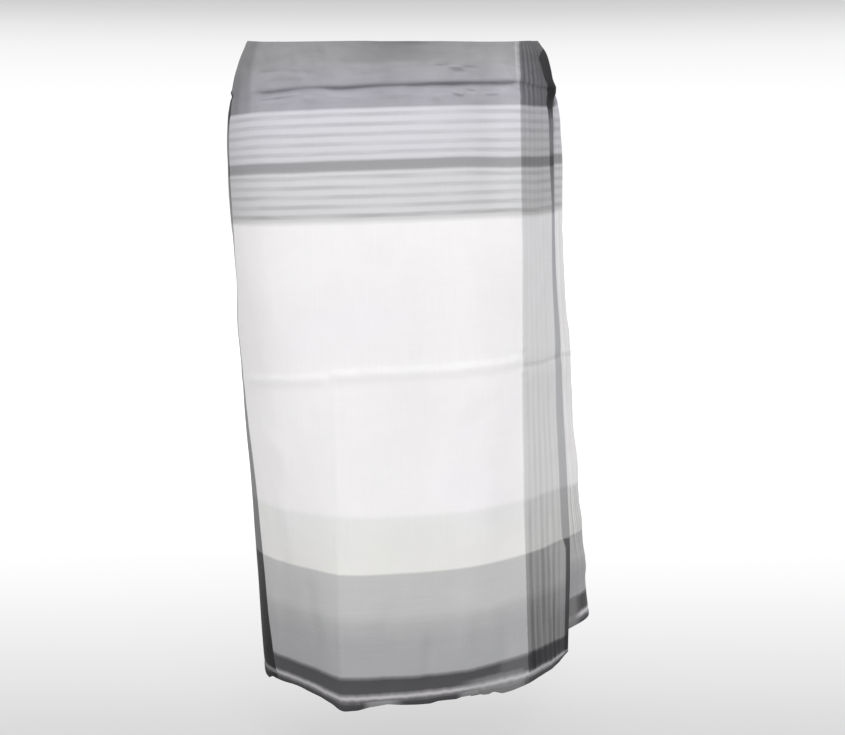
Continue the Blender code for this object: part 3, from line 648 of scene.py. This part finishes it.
yarn = {             # how far each kind of unevenness goes
    "sway": 0.0022, "wander": 0.0022, "frayed": (0.920, 0.956, 0.0006, 0.0036),
    "weft": 0.20, "weftLong": 0.18, "warp": 0.06, "cloudy": (0.100, 0.110, 0.30, 0.07),
    "rubbed": (0.100, 0.110, 0.26, 0.03), "inTop": (0.100, 0.106, 0.30, 0.0),
    "inGrey": ((0.770, 0.800, 0.15, 0.55), (0.890, 0.910, 1.0, 0.6)), "green": 0.016, "blue": 0.030,
    "every": 0.0011, "weaveHeight": 0.30, "stitchHeight": 1.2, "slubHeight": 0.6,
    "bump": {"Strength": 0.30, "Distance": 0.0003}, "rough": (0.2, 0.8, 0.80, 0.92),
    "finish": {"Specular IOR Level": 0.25, "Sheen Weight": 0.05, "Sheen Roughness": 0.5,
               "Sheen Tint": (0.9, 0.9, 0.95, 1.0)},
}
roundCut = (-0.87, 1.14)      # the whole way round along the cut


def linear(tone):
    share = tone / 255.0
    return share / 12.92 if share <= 0.04045 else ((share + 0.055) / 1.055) ** 2.4


class Tree:                          # short ways to add and join shader nodes
    def __init__(self, owner):
        self.nodes = owner.node_tree.nodes
        self.links = owner.node_tree.links
        self.count = 0

    def add(self, kind, **settings):
        node = self.nodes.new(kind)
        node.location = (-2200 + 170 * (self.count % 14), 1000 - 230 * (self.count // 14))
        self.count += 1
        for name, value in settings.items():
            setattr(node, name, value)
        return node

    def put(self, socket, value):
        if isinstance(value, bpy.types.NodeSocket):
            self.links.new(value, socket)
        else:
            socket.default_value = value

    def math(self, operation, *values, clamp=False):
        node = self.add("ShaderNodeMath", operation=operation, use_clamp=clamp)
        for socket, value in zip(node.inputs, values):
            self.put(socket, value)
        return node.outputs[0]

    def together(self, operation, values):
        total, *others = values
        for value in others:
            total = self.math(operation, total, value)
        return total

    def times(self, *values):
        return self.together("MULTIPLY", values)

    def plus(self, *values):
        return self.together("ADD", values)

    def most(self, *values):
        return self.together("MAXIMUM", values)

    def minus(self, first, second):
        return self.math("SUBTRACT", first, second)

    def off(self, value, middle):
        return self.math("ABSOLUTE", self.minus(value, middle))

    def soft(self, value, start, stop, low=0.0, high=1.0):
        node = self.add("ShaderNodeMapRange", interpolation_type="SMOOTHSTEP")
        for socket, given in zip(node.inputs, (value, start, stop, low, high)):
            self.put(socket, given)
        return node.outputs[0]

    def fades(self, value, start, stop, high=1.0):
        return self.soft(value, start, stop, high, 0.0)

    def window(self, value, start, full, ebb, stop):      # up from start to full, down from ebb to stop
        return self.times(self.soft(value, start, full), self.fades(value, ebb, stop))

    def line(self, value, middle, half, strength=1.0):    # falls softly to 0 past its half width
        return self.soft(self.off(value, middle), half * 0.35, half * 1.1, strength, 0.0)

    def mix(self, share, first, second, blend="MIX"):
        node = self.add("ShaderNodeMix", data_type="RGBA", blend_type=blend)
        self.put(node.inputs[0], share)
        self.put(node.inputs[6], first)
        self.put(node.inputs[7], second)
        return node.outputs[2]

    def ramp(self, value, stops):    # stops are (place 0 to 1, colour)
        node = self.add("ShaderNodeValToRGB")
        self.put(node.inputs[0], value)
        elements = node.color_ramp.elements
        while len(elements) > 1:
            elements.remove(elements[-1])
        for k, (at, colour) in enumerate(stops):
            stop = elements[0] if k == 0 else elements.new(at)
            stop.position = at
            stop.color = (*colour, 1.0)
        return node.outputs[0]

    def toned(self, down, rows):     # a ramp down the cloth from a table of tones
        stops = []
        for values in rows:
            c = dict(zip(shades["columns"], values))
            parts = [c["tone"] + c.get(part, 0) for part in ("red", "green", "blue")]
            colour = tuple(linear(tone) / shades["light"] for tone in parts)
            stops.append((c["down"] / cloth["length"], colour))
        return self.ramp(down, stops)

    def curve(self, value, span, rows):      # a value read along a table of (place, value)
        start, stop = span
        low, high = min(v for _, v in rows), max(v for _, v in rows)
        share = self.math("DIVIDE", self.minus(value, start), stop - start)
        level = self.ramp(share, [((at - start) / (stop - start), ((v - low) / (high - low),) * 3)
                                  for at, v in rows])
        return self.plus(self.times(level, high - low), low)


class ClothTree(Tree):               # a tree that knows its place on the cut
    def __init__(self, owner):
        super().__init__(owner)
        place = self.add("ShaderNodeUVMap", uv_map="cloth")
        parts = self.add("ShaderNodeSeparateXYZ")
        self.put(parts.inputs[0], place.outputs[0])
        self.at = {"u": parts.outputs[0], "v": parts.outputs[1]}
        frayed = self.uneven("frayed", self.soft(self.at["v"], *yarn["frayed"]))
        self.at["level"] = self.plus(self.at["v"], self.uneven("sway", yarn["sway"]), frayed)
        self.at["across"] = self.plus(self.at["u"], self.uneven("wander", yarn["wander"]))

    def noise(self, name):
        c = dict(zip(threads["columns"], threads[name]))
        joined = self.add("ShaderNodeCombineXYZ")
        self.put(joined.inputs[0], self.times(self.at["u"], c["along"]))
        self.put(joined.inputs[1], self.times(self.at["v"], c["down"]))
        joined.inputs[2].default_value = c["layer"]
        node = self.add("ShaderNodeTexNoise")
        self.put(node.inputs["Vector"], joined.outputs[0])
        node.inputs["Scale"].default_value = 1.0
        node.inputs["Detail"].default_value = c["detail"]
        return node.outputs[0]

    def uneven(self, name, amount):          # noise about 0
        return self.times(self.minus(self.noise(name), 0.5), amount)

    def down(self, rows):                    # a table read by distance down
        return self.curve(self.at["v"], (0.0, cloth["length"]), rows)

    def patch(self, name):
        given = patches[name]
        parts = [self.soft(self.at[way], *pair) for way, pair in given["rises"].items()]
        parts += [self.fades(self.at[way], *pair) for way, pair in given["falls"].items()]
        return self.times(*parts, given["amount"])

    def shadeOval(self, spot):                  # a soft oval of painted shade, darkest in its middle
        across = self.fades(self.off(self.at["u"], spot["u"]), 0.0, spot["half"], spot["amount"])
        return self.times(across, self.fades(self.off(self.at["v"], spot["v"]), 0.0, spot["halfV"]))


def panelWarp(tree):                 # the head panel's upright stripes, and faint ones behind the fold
    across = tree.at["across"]
    lines = []
    for values in panelStripes["rows"]:
        c = dict(zip(panelStripes["columns"], values))
        lines.append(tree.line(across, c["across"], c["half"], c["strength"]))
    turn = tree.math("COSINE", tree.times(across, 2 * math.pi / panelStripes["fineEvery"]))
    fine = tree.times(tree.plus(tree.times(turn, 0.5), 0.5), panelStripes["fineStrength"])
    base = tree.down(panelStripes["base"])
    worn = tree.soft(tree.noise("worn"), *panelStripes["worn"])
    warp = tree.times(tree.most(*lines, fine), worn, tree.minus(1.0, base))
    warp = tree.math("ADD", warp, base, clamp=True)
    pastSeam = tree.minus(across, tree.down(panelStripes["start"]))
    warp = tree.times(warp, tree.soft(pastSeam, *panelStripes["startSoft"]),
                      tree.fades(across, *panelStripes["stop"]))
    faint = tree.soft(tree.noise("faint"), *panelStripes["faint"])
    faint = tree.times(faint, tree.down(panelStripes["behind"]),
                       tree.window(tree.at["u"], *panelStripes["behindSpan"]))
    return tree.most(warp, faint)


def weftLines(tree):                 # thin stripes over and under the thick one, right round
    level, ends = tree.at["level"], weftStripes["ends"]
    lines = []
    for values in weftStripes["rows"]:
        c = dict(zip(weftStripes["columns"], values))
        turns = tree.math("DIVIDE", tree.minus(level, c["first"]), c["pitch"])
        turn = tree.math("FRACT", tree.plus(turns, 0.5))
        fadeFrom, fadeTo = [c["half"] / c["pitch"] * share for share in weftStripes["edge"]]
        line = tree.fades(tree.off(turn, 0.5), fadeFrom, fadeTo)
        lines.append(tree.times(line, tree.window(level, c["from"] - ends, c["from"] + ends,
                                                  c["to"] - ends, c["to"] + ends)))
    start, stop, stronger = weftStripes["last"]
    uneven = weftStripes["uneven"]
    patchy = tree.soft(tree.noise("patchy"), 0.25, 0.75, 1 - uneven, 1 + uneven)
    return tree.times(tree.plus(*lines), tree.soft(level, start, stop, 1.0, stronger), patchy,
                      weftStripes["strength"])


def foldLine(tree):
    past = tree.minus(tree.at["across"], tree.down(edgeStripes["foldStart"]))
    left = tree.minus(tree.at["across"], tree.down(edgeStripes["foldStop"]))
    return tree.times(tree.soft(past, *edgeStripes["foldSoft"]),
                      tree.fades(left, *edgeStripes["foldStopSoft"]))


def sideLine(tree):
    past = tree.minus(tree.at["across"], tree.down(edgeStripes["sideStop"]))
    wide, soft = edgeStripes["sideWide"], edgeStripes["sideSoft"]
    return tree.window(past, -wide, 2 * soft - wide, -soft, soft)


def edgeLines(tree, colour, dark, side):     # the dark stripes along the outer fold and down the left side
    # Painted shade too: darker towards the outer fold, and on the hip stretch beside it.
    colour = tree.mix(tree.patch("shadeTowardFold"), colour, shades["nearBlack"])
    colour = tree.mix(foldLine(tree), colour, dark)
    # the left stripe's tone with its painted light and shade
    sideDark = tree.mix(1.0, dark, tree.down(edgeStripes["sideShade"]), blend="MULTIPLY")
    colour = tree.mix(side, colour, sideDark)
    return tree.mix(tree.most(tree.patch("hipShadeTop"), tree.patch("hipShadeBelow")), colour, shades["nearBlack"])


def fadedBorder(tree, colour):       # the edge and border gone pale in places, a pale line, and a mid-grey strip over the border behind the fold
    paleHem = tree.times(tree.curve(tree.at["u"], faded["hemSpan"], faded["hemPale"]),
                         tree.soft(tree.at["level"], *faded["hemFrom"]))
    pale = tree.most(paleHem, tree.patch("paleBorder"), tree.patch("wornBorder"))
    colour = tree.mix(pale, colour, faded["tone"])
    hip = faded["hipLine"]
    line = tree.times(tree.line(tree.at["level"], hip["level"], hip["half"], hip["amount"]),
                      tree.patch("hipLineSpan"))
    colour = tree.mix(line, colour, hip["tone"])
    return tree.mix(tree.patch("hipBorder"), colour, faded["hipTone"])


def waistShade(tree, colour):        # painted shade: the turn of the left side, two soft dark ovals, and the bottom of the crease
    side = tree.plus(tree.patch("sideTurnShade"), tree.patch("sideDeepShade"))
    ovalShaded = tree.plus(tree.shadeOval(faded["waistShadeOval"]), tree.shadeOval(faded["lowShadeOval"]))
    under = tree.minus(tree.at["v"], tree.curve(tree.at["u"], roundCut, waistCrease["path"]))
    line = tree.times(tree.line(under, faded["waistLine"]["under"], faded["waistLine"]["half"]),
                      tree.curve(tree.at["u"], roundCut, waistCrease["strength"]),
                      faded["waistLine"]["amount"])
    return tree.mix(tree.most(side, ovalShaded, line), colour, shades["nearBlack"])


def paintLightAndShade(tree, colour):       # painted light and shade: the front's right and left are painted a shade paler than its middle
    u, v = tree.at["u"], tree.at["v"]
    middle, high, low = [tree.minus(tree.curve(u, paintedLightAndShade["span"], paintedLightAndShade[name]), 1.0)
                         for name in ("middle", "high", "low")]
    even = tree.plus(tree.times(middle, tree.soft(v, *paintedLightAndShade["middleFrom"])), 1.0,
                     tree.times(high, tree.window(v, *paintedLightAndShade["highSpan"])),
                     tree.times(low, tree.down(paintedLightAndShade["lowDown"])),
                     tree.times(tree.patch("nearSeam"), tree.down(paintedLightAndShade["seamDown"])),
                     tree.patch("nearFold"))
    return tree.mix(1.0, colour, even, blend="MULTIPLY")


def ironedLine(tree, colour, side):  # a painted highlight along it, and painted shade where it lies across the panel
    iron = faded["ironLine"]
    past = tree.minus(tree.at["v"], tree.curve(tree.at["u"], roundCut, ironed["path"]))
    onPanel = tree.patch("onPanel")
    lit = tree.times(tree.line(past, -iron["up"], iron["highlightHalf"], iron["pale"]),
                     tree.soft(tree.noise("broken"), *iron["broken"]),
                     tree.minus(1.0, tree.most(onPanel, side)))
    colour = tree.mix(lit, colour, iron["highlightTone"])
    shade = tree.times(tree.line(past, 0.0, iron["darkHalf"], iron["dark"]), onPanel)
    return tree.mix(shade, colour, shades["nearBlack"])


def stitches(tree):                  # along the hem's turning and down beside the seam
    u, v = tree.at["u"], tree.at["v"]
    rows = []
    for along, aside, at, every in ((u, v, sewing["hemAt"], sewing["hemStitch"]),
                                    (v, u, sewing["seamAt"], sewing["seamStitch"])):
        step = tree.off(tree.math("FRACT", tree.math("DIVIDE", along, every)), 0.5)
        rows.append(tree.times(tree.fades(step, *sewing["gap"]), tree.line(aside, at, sewing["half"])))
    return tree.most(*rows)


def slubs(tree, colour, weft, warp, cloudy):         # uneven threads, fainter along the warp
    v = tree.at["v"]
    inGrey, paler = yarn["inGrey"]
    strength = tree.most(tree.times(tree.soft(v, *inGrey), tree.soft(v, *paler)),
                         tree.soft(v, *yarn["inTop"]))
    slub = tree.plus(tree.times(tree.minus(weft, 0.5), yarn["weft"]),
                     tree.uneven("weftLong", yarn["weftLong"]))
    cloud = tree.plus(tree.times(tree.minus(cloudy, 0.5), tree.soft(v, *yarn["cloudy"])),
                      tree.uneven("rubbed", tree.soft(v, *yarn["rubbed"])))
    tone = tree.plus(tree.times(slub, strength), tree.times(tree.minus(warp, 0.5), yarn["warp"]), cloud, 1.0)
    tint = tree.uneven("tint", 1.0)
    grey = tree.add("ShaderNodeCombineColor")
    tree.put(grey.inputs[0], tone)
    tree.put(grey.inputs[1], tree.plus(tone, tree.times(tint, yarn["green"])))
    tree.put(grey.inputs[2], tree.minus(tone, tree.times(tint, yarn["blue"])))
    return tree.mix(1.0, colour, grey.outputs[0], blend="MULTIPLY")


def weaveRelief(tree, sewn, weft, warp):             # the weave, with the slubs and stitches a little proud
    ways = [tree.math("SINE", tree.times(tree.at[way], 2 * math.pi / yarn["every"])) for way in ("u", "v")]
    height = tree.plus(tree.times(*ways, yarn["weaveHeight"]), tree.times(sewn, yarn["stitchHeight"]),
                       tree.times(tree.plus(weft, warp), yarn["slubHeight"]))
    bump = tree.add("ShaderNodeBump")
    for name, value in yarn["bump"].items():
        bump.inputs[name].default_value = value
    tree.put(bump.inputs["Height"], height)
    return bump.outputs[0]


def wovenCotton():
    material = bpy.data.materials.new("wovenCotton")
    material.use_nodes = True
    tree = ClothTree(material)
    down = tree.math("DIVIDE", tree.at["level"], cloth["length"])
    body, panel, dark = [tree.toned(down, shades[name]) for name in ("body", "panel", "edgeStripe")]
    colour = tree.mix(panelWarp(tree), body, panel)
    colour = tree.mix(weftLines(tree), colour, weftStripes["nearBlack"])
    side = sideLine(tree)
    colour = edgeLines(tree, colour, dark, side)
    thread = sewing["paleThread"]
    pale = tree.times(tree.line(tree.at["across"], thread["across"], thread["half"], thread["strength"]),
                      tree.fades(tree.at["v"], *thread["ends"]))
    colour = tree.mix(pale, colour, shades["thread"])
    for change in (fadedBorder, waistShade, paintLightAndShade):
        colour = change(tree, colour)
    colour = ironedLine(tree, colour, side)
    sewn = stitches(tree)
    colour = tree.mix(tree.times(sewn, sewing["strength"]), colour, shades["thread"])
    weft, warp, cloudy = [tree.noise(name) for name in ("weft", "warp", "cloudy")]
    shader = tree.nodes["Principled BSDF"]
    tree.put(shader.inputs["Base Color"], slubs(tree, colour, weft, warp, cloudy))
    tree.put(shader.inputs["Normal"], weaveRelief(tree, sewn, weft, warp))
    tree.put(shader.inputs["Roughness"], tree.soft(cloudy, *yarn["rough"]))
    for name, value in yarn["finish"].items():
        shader.inputs[name].default_value = value
    return material


cotton = wovenCotton()
print("cotton is woven")

# One piece for each stretch that shows, over its own solid. The under and back layers are coarser.
stretches = {
    "frontCloth": {"node": "front_wrap", "cut": ("left", "seam"), "step": 0.0040, "rows": "fine"},
    "headPanel": {"node": "head_panel", "cut": ("seam", "turned"), "step": 0.0022, "rows": "fine"},
    "underCloth": {"node": "under_wrap", "cut": ("turned", "innerStart"), "step": 0.0100, "rows": "coarse"},
    "hipCloth": {"node": "hip_wrap", "cut": ("innerStart", "backRight"), "step": 0.0046, "rows": "fine"},
    "backCloth": {"node": "back_wrap", "cut": ("backRight", "end", "back", "left"), "step": 0.0060,
                  "rows": "coarse"},
}
rowSteps = {         # distances down, as (from, to, step)
    "fine": ((0.0, 0.046, 0.0042), (0.046, 0.064, 0.0024), (0.064, 0.094, 0.0011), (0.094, 0.125, 0.0028),
             (0.125, 0.455, 0.0082), (0.455, 0.508, 0.0016), (0.508, 0.94, 0.0080), (0.94, 0.962, 0.0030),
             (0.962, 0.970, 0.0010), (0.970, 0.974, 0.0020)),
    "coarse": ((0.0, 0.046, 0.0060), (0.046, 0.064, 0.0040), (0.064, 0.094, 0.0018), (0.094, 0.125, 0.0050),
               (0.125, 0.465, 0.0110), (0.465, 0.508, 0.0026), (0.508, 0.94, 0.0110), (0.94, 0.962, 0.0050),
               (0.962, 0.970, 0.0014), (0.970, 0.974, 0.0020)),
}
for name, stretch in stretches.items():
    cut = [cutPlaces[p] for p in stretch["cut"]]
    if len(cut) == 4:                # the back runs past the end of the plan's way round
        around = cutPlaces["end"] - cutPlaces["back"]
        cut = [cut[0] - around, cut[3]]
    us = spread((cut[0], cut[1], stretch["step"]))
    piece = thinShell(name, spread(*rowSteps[stretch["rows"]]), us)
    piece.data.materials.append(cotton)
    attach(piece, "root")
    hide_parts(stretch["node"])
    print(name, len(piece.data.polygons) * 2, "triangles")

# Studio: a pale floor that runs out into white, and three soft lights. The floor mostly glows, its glow a
# painted gradient of light, darker nearer the camera.
studio = {
    "lights": {"key": {"at": (0.9, -3.2, 2.2), "size": 1.6, "watts": 114.0},
               "fill": {"at": (-2.6, -2.4, 1.0), "size": 2.4, "watts": 34.0},
               "back": {"at": (0.6, 3.2, 2.0), "size": 3.0, "watts": 60.0}},
    "aim": (0.0, 0.0, -0.5),
    "floorZ": -1.10, "floorRadius": 14.0, "floorSides": 96, "floorPaint": 0.07,
    "floorBounce": 0.0945, "floorGlow": 1.14, "floorTilt": 0.077,       # its bands are level in the picture
    "floorTones": ((-3.0, 196), (-0.80, 206), (0.03, 218), (0.16, 224), (0.25, 229), (0.50, 239), (0.80, 249),
                   (0.92, 252), (1.01, 254), (1.08, 255), (1.60, 290), (3.0, 290)),
    # by degrees above the horizon
    "skyTones": ((-90, 255), (1.7, 255), (3.43, 245), (4.3, 230), (5.25, 202), (6.5, 192), (12, 190),
                 (24, 225), (45, 255), (90, 255)),
    "skyTilt": 1.5, "skyBehindCamera": (-0.6, 0.1, 0.78, 1.0), "skyStrength": 1.01,
}


def makeLights():
    for name, light in studio["lights"].items():
        lamp = bpy.data.lights.new(name, "AREA")
        lamp.size = light["size"]
        lamp.energy = light["watts"]
        holder = bpy.data.objects.new(name + "Light", lamp)
        holder.location = light["at"]
        holder.rotation_euler = (Vector(studio["aim"]) - holder.location).to_track_quat("-Z", "Y").to_euler()
        bpy.context.scene.collection.objects.link(holder)


def floorPaint():
    paint = bpy.data.materials.new("floorPaint")
    paint.use_nodes = True
    tree = Tree(paint)
    spot = tree.add("ShaderNodeNewGeometry")
    split = tree.add("ShaderNodeSeparateXYZ")
    tree.put(split.inputs[0], spot.outputs["Position"])
    first, last = studio["floorTones"][0][0], studio["floorTones"][-1][0]
    stops = []
    for at, tone in studio["floorTones"]:
        level = (linear(tone) - studio["floorBounce"]) / studio["floorGlow"]
        stops.append(((at - first) / (last - first), (level,) * 3))
    # painted light: the floor's glow by place, darker nearer the camera
    away = tree.plus(split.outputs[1], tree.times(split.outputs[0], studio["floorTilt"]))
    glow = tree.ramp(tree.math("DIVIDE", tree.minus(away, first), last - first), stops)
    shader = tree.nodes["Principled BSDF"]
    tree.put(shader.inputs["Emission Color"], glow)
    shader.inputs["Emission Strength"].default_value = studio["floorGlow"]
    shader.inputs["Base Color"].default_value = (studio["floorPaint"],) * 3 + (1.0,)
    shader.inputs["Roughness"].default_value = 1.0
    shader.inputs["Specular IOR Level"].default_value = 0.0
    return paint


def makeFloor():
    sides = studio["floorSides"]
    ring = [(math.cos(a) * studio["floorRadius"], math.sin(a) * studio["floorRadius"], studio["floorZ"])
            for a in np.linspace(0, 2 * math.pi, sides, endpoint=False)]
    mesh = bpy.data.meshes.new("floor")
    mesh.from_pydata(ring, [], [list(range(sides))])
    mesh.materials.append(floorPaint())
    floor = bpy.data.objects.new("floor", mesh)
    bpy.context.scene.collection.objects.link(floor)


def makeSky():
    world = bpy.data.worlds.new("studioWhite")
    bpy.context.scene.world = world
    world.use_nodes = True
    sky = Tree(world)
    direction = sky.add("ShaderNodeTexCoord")
    split = sky.add("ShaderNodeSeparateXYZ")
    sky.put(split.inputs[0], direction.outputs["Generated"])
    height = sky.times(sky.math("ARCSINE", split.outputs[2]), 180 / math.pi)
    height = sky.plus(height, sky.times(split.outputs[0], studio["skyTilt"]))
    stops = [((at + 90) / 180, (linear(tone),) * 3) for at, tone in studio["skyTones"]]
    white = sky.ramp(sky.math("DIVIDE", sky.plus(height, 90.0), 180.0), stops)
    dimmer = sky.soft(split.outputs[1], *studio["skyBehindCamera"])
    sky.put(sky.nodes["Background"].inputs["Color"], sky.mix(dimmer, (0.0, 0.0, 0.0, 1.0), white))
    sky.nodes["Background"].inputs["Strength"].default_value = studio["skyStrength"]


# Camera, as the photograph was taken.
shot = {"at": (0.034, -2.2, -0.15), "pitch": 8.9, "roll": 1.5, "focalPixels": 1457.0, "width": 845.0,
        "sensor": 36.0}


def makeCamera():
    pitch, roll = math.radians(shot["pitch"]), math.radians(shot["roll"])
    forward = Vector((0.0, math.cos(pitch), -math.sin(pitch)))
    level = Vector((1.0, 0.0, 0.0))
    upright = level.cross(forward)
    right = level * math.cos(roll) - upright * math.sin(roll)
    up = upright * math.cos(roll) + level * math.sin(roll)
    lens = bpy.data.cameras.new("camera")
    lens.sensor_width = shot["sensor"]
    lens.lens = shot["sensor"] * shot["focalPixels"] / shot["width"]
    camera = bpy.data.objects.new("camera", lens)
    camera.matrix_world = Matrix.Translation(shot["at"]) @ Matrix((right, up, -forward)).transposed().to_4x4()
    bpy.context.scene.collection.objects.link(camera)
    bpy.context.scene.camera = camera
    bpy.context.scene.view_settings.view_transform = "Standard"


makeLights()
makeFloor()
makeSky()
print("studio is lit")
makeCamera()
print("camera is set")
